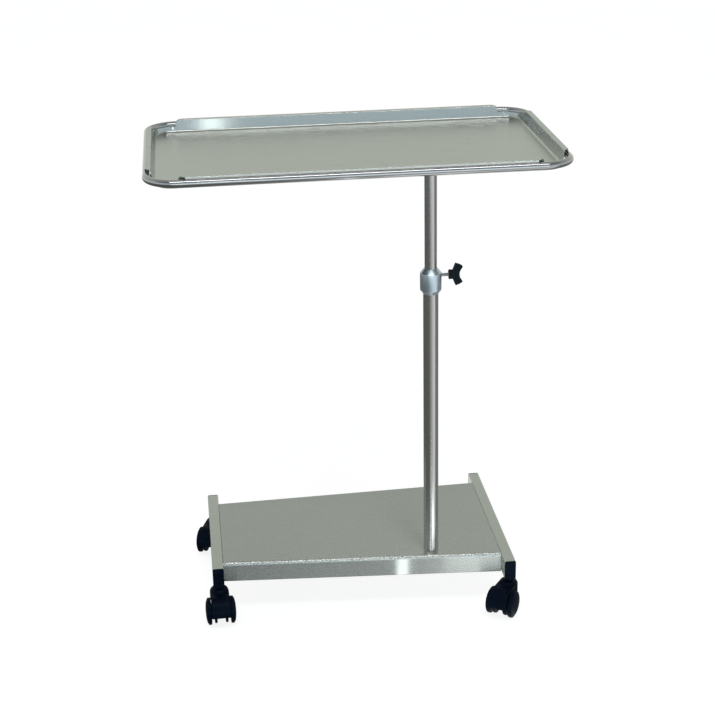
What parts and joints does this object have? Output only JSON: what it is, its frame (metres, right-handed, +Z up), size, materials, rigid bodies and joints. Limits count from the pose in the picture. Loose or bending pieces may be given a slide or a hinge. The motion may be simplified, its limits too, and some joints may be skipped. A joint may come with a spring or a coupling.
{
  "type": "mayo table",
  "caption": "Wheeled stainless instrument stand: low shelf on casters, off-centre telescopic column with a clamp collar and wing knob, rod frame and lift-off tray.",
  "frame": {"origin": "on the floor under the middle of the stand's overall box", "axes": "+Z up, +X along the tray to the right, +Y from the front skirt to the back edge of the shelf"},
  "size_m": [0.664, 0.4138, 0.792],
  "materials": {
    "stainless": "satin stainless sheet and tube",
    "bright_metal": "polished metal",
    "black_plastic": "moulded, slightly glossy",
    "wheel_plastic": "moulded nylon",
    "zinc": "zinc plated",
    "nylon": "natural nylon"
  },
  "bodies": {
    "base": {"left_tube": "stainless", "right_tube": "stainless", "shelf": "stainless", "front_rail": "stainless", "outer_post": "stainless", "foot_plug": "zinc", "foot_washer": "zinc", "foot_bolt": "zinc", "collar": "bright_metal", "front_left_cap": "black_plastic", "front_left_nut": "zinc", "front_left_stem": "zinc", "back_left_cap": "black_plastic", "back_left_nut": "zinc", "back_left_stem": "zinc", "front_right_cap": "black_plastic", "front_right_nut": "zinc", "front_right_stem": "zinc", "back_right_cap": "black_plastic", "back_right_nut": "zinc", "back_right_stem": "zinc"},
    "guide": {"guide_bush": "nylon"},
    "upper": {"inner_post": "stainless", "top_plug": "zinc", "top_plate": "stainless", "top_screw": "zinc", "cross_bar": "stainless", "left_arm": "stainless", "right_arm": "stainless", "rod_frame": "bright_metal"},
    "tray": {"tray": "stainless"},
    "clamp_pad": {"clamp_pad": "nylon"},
    "clamp_knob": {"clamp_stud": "zinc", "clamp_knob": "black_plastic"},
    "front_left_caster": {"front_left_hood": "black_plastic", "front_left_axle": "zinc"},
    "front_left_left_wheel": {"front_left_left_wheel": "wheel_plastic"},
    "front_left_right_wheel": {"front_left_right_wheel": "wheel_plastic"},
    "back_left_caster": {"back_left_hood": "black_plastic", "back_left_axle": "zinc"},
    "back_left_left_wheel": {"back_left_left_wheel": "wheel_plastic"},
    "back_left_right_wheel": {"back_left_right_wheel": "wheel_plastic"},
    "front_right_caster": {"front_right_hood": "black_plastic", "front_right_axle": "zinc"},
    "front_right_left_wheel": {"front_right_left_wheel": "wheel_plastic"},
    "front_right_right_wheel": {"front_right_right_wheel": "wheel_plastic"},
    "back_right_caster": {"back_right_hood": "black_plastic", "back_right_axle": "zinc"},
    "back_right_left_wheel": {"back_right_left_wheel": "wheel_plastic"},
    "back_right_right_wheel": {"back_right_right_wheel": "wheel_plastic"}
  },
  "joints": [
    {"name": "column_lift", "type": "slide", "parent": "base", "child": "guide", "axis": [0, 0, 1], "range_m": [-0.145, 0.2]},
    {"name": "column_swivel", "type": "hinge", "parent": "guide", "child": "upper", "pos_m": [0.113, -0.1051, 0.395], "axis": [0, 0, 1], "continuous": true},
    {"name": "tray_lift_off", "type": "slide", "parent": "upper", "child": "tray", "axis": [0, 0, 1], "range_m": [0, 0.1]},
    {"name": "clamp_feed", "type": "slide", "parent": "base", "child": "clamp_pad", "axis": [1, 0, 0], "range_m": [0, 0.002]},
    {"name": "knob_turn", "type": "hinge", "parent": "clamp_pad", "child": "clamp_knob", "pos_m": [0.143, -0.1051, 0.591], "axis": [1, 0, 0], "range_deg": [0, 720]},
    {"name": "front_left_swivel", "type": "hinge", "parent": "base", "child": "front_left_caster", "pos_m": [-0.2525, -0.10833, 0.0495], "axis": [0, 0, 1], "continuous": true},
    {"name": "front_left_left_wheel_spin", "type": "hinge", "parent": "front_left_caster", "child": "front_left_left_wheel", "pos_m": [-0.25163, -0.13331, 0.023], "axis": [0.9994, 0.0349, 0], "continuous": true},
    {"name": "front_left_right_wheel_spin", "type": "hinge", "parent": "front_left_caster", "child": "front_left_right_wheel", "pos_m": [-0.25163, -0.13331, 0.023], "axis": [0.9994, 0.0349, 0], "continuous": true},
    {"name": "back_left_swivel", "type": "hinge", "parent": "base", "child": "back_left_caster", "pos_m": [-0.2525, 0.14167, 0.0495], "axis": [0, 0, 1], "continuous": true},
    {"name": "back_left_left_wheel_spin", "type": "hinge", "parent": "back_left_caster", "child": "back_left_left_wheel", "pos_m": [-0.25981, 0.11777, 0.023], "axis": [0.9563, -0.2924, 0], "continuous": true},
    {"name": "back_left_right_wheel_spin", "type": "hinge", "parent": "back_left_caster", "child": "back_left_right_wheel", "pos_m": [-0.25981, 0.11777, 0.023], "axis": [0.9563, -0.2924, 0], "continuous": true},
    {"name": "front_right_swivel", "type": "hinge", "parent": "base", "child": "front_right_caster", "pos_m": [0.2385, -0.15532, 0.0495], "axis": [0, 0, 1], "continuous": true},
    {"name": "front_right_left_wheel_spin", "type": "hinge", "parent": "front_right_caster", "child": "front_right_left_wheel", "pos_m": [0.22452, -0.17605, 0.023], "axis": [0.829, -0.5592, 0], "continuous": true},
    {"name": "front_right_right_wheel_spin", "type": "hinge", "parent": "front_right_caster", "child": "front_right_right_wheel", "pos_m": [0.22452, -0.17605, 0.023], "axis": [0.829, -0.5592, 0], "continuous": true},
    {"name": "back_right_swivel", "type": "hinge", "parent": "base", "child": "back_right_caster", "pos_m": [0.2385, 0.15868, 0.0495], "axis": [0, 0, 1], "continuous": true},
    {"name": "back_right_left_wheel_spin", "type": "hinge", "parent": "back_right_caster", "child": "back_right_left_wheel", "pos_m": [0.21435, 0.16515, 0.023], "axis": [-0.2588, -0.9659, 0], "continuous": true},
    {"name": "back_right_right_wheel_spin", "type": "hinge", "parent": "back_right_caster", "child": "back_right_right_wheel", "pos_m": [0.21435, 0.16515, 0.023], "axis": [-0.2588, -0.9659, 0], "continuous": true}
  ],
  "couplings": [
    {"joint": "clamp_feed", "follows": "knob_turn", "m_per_rad": 0.00015915}
  ]
}
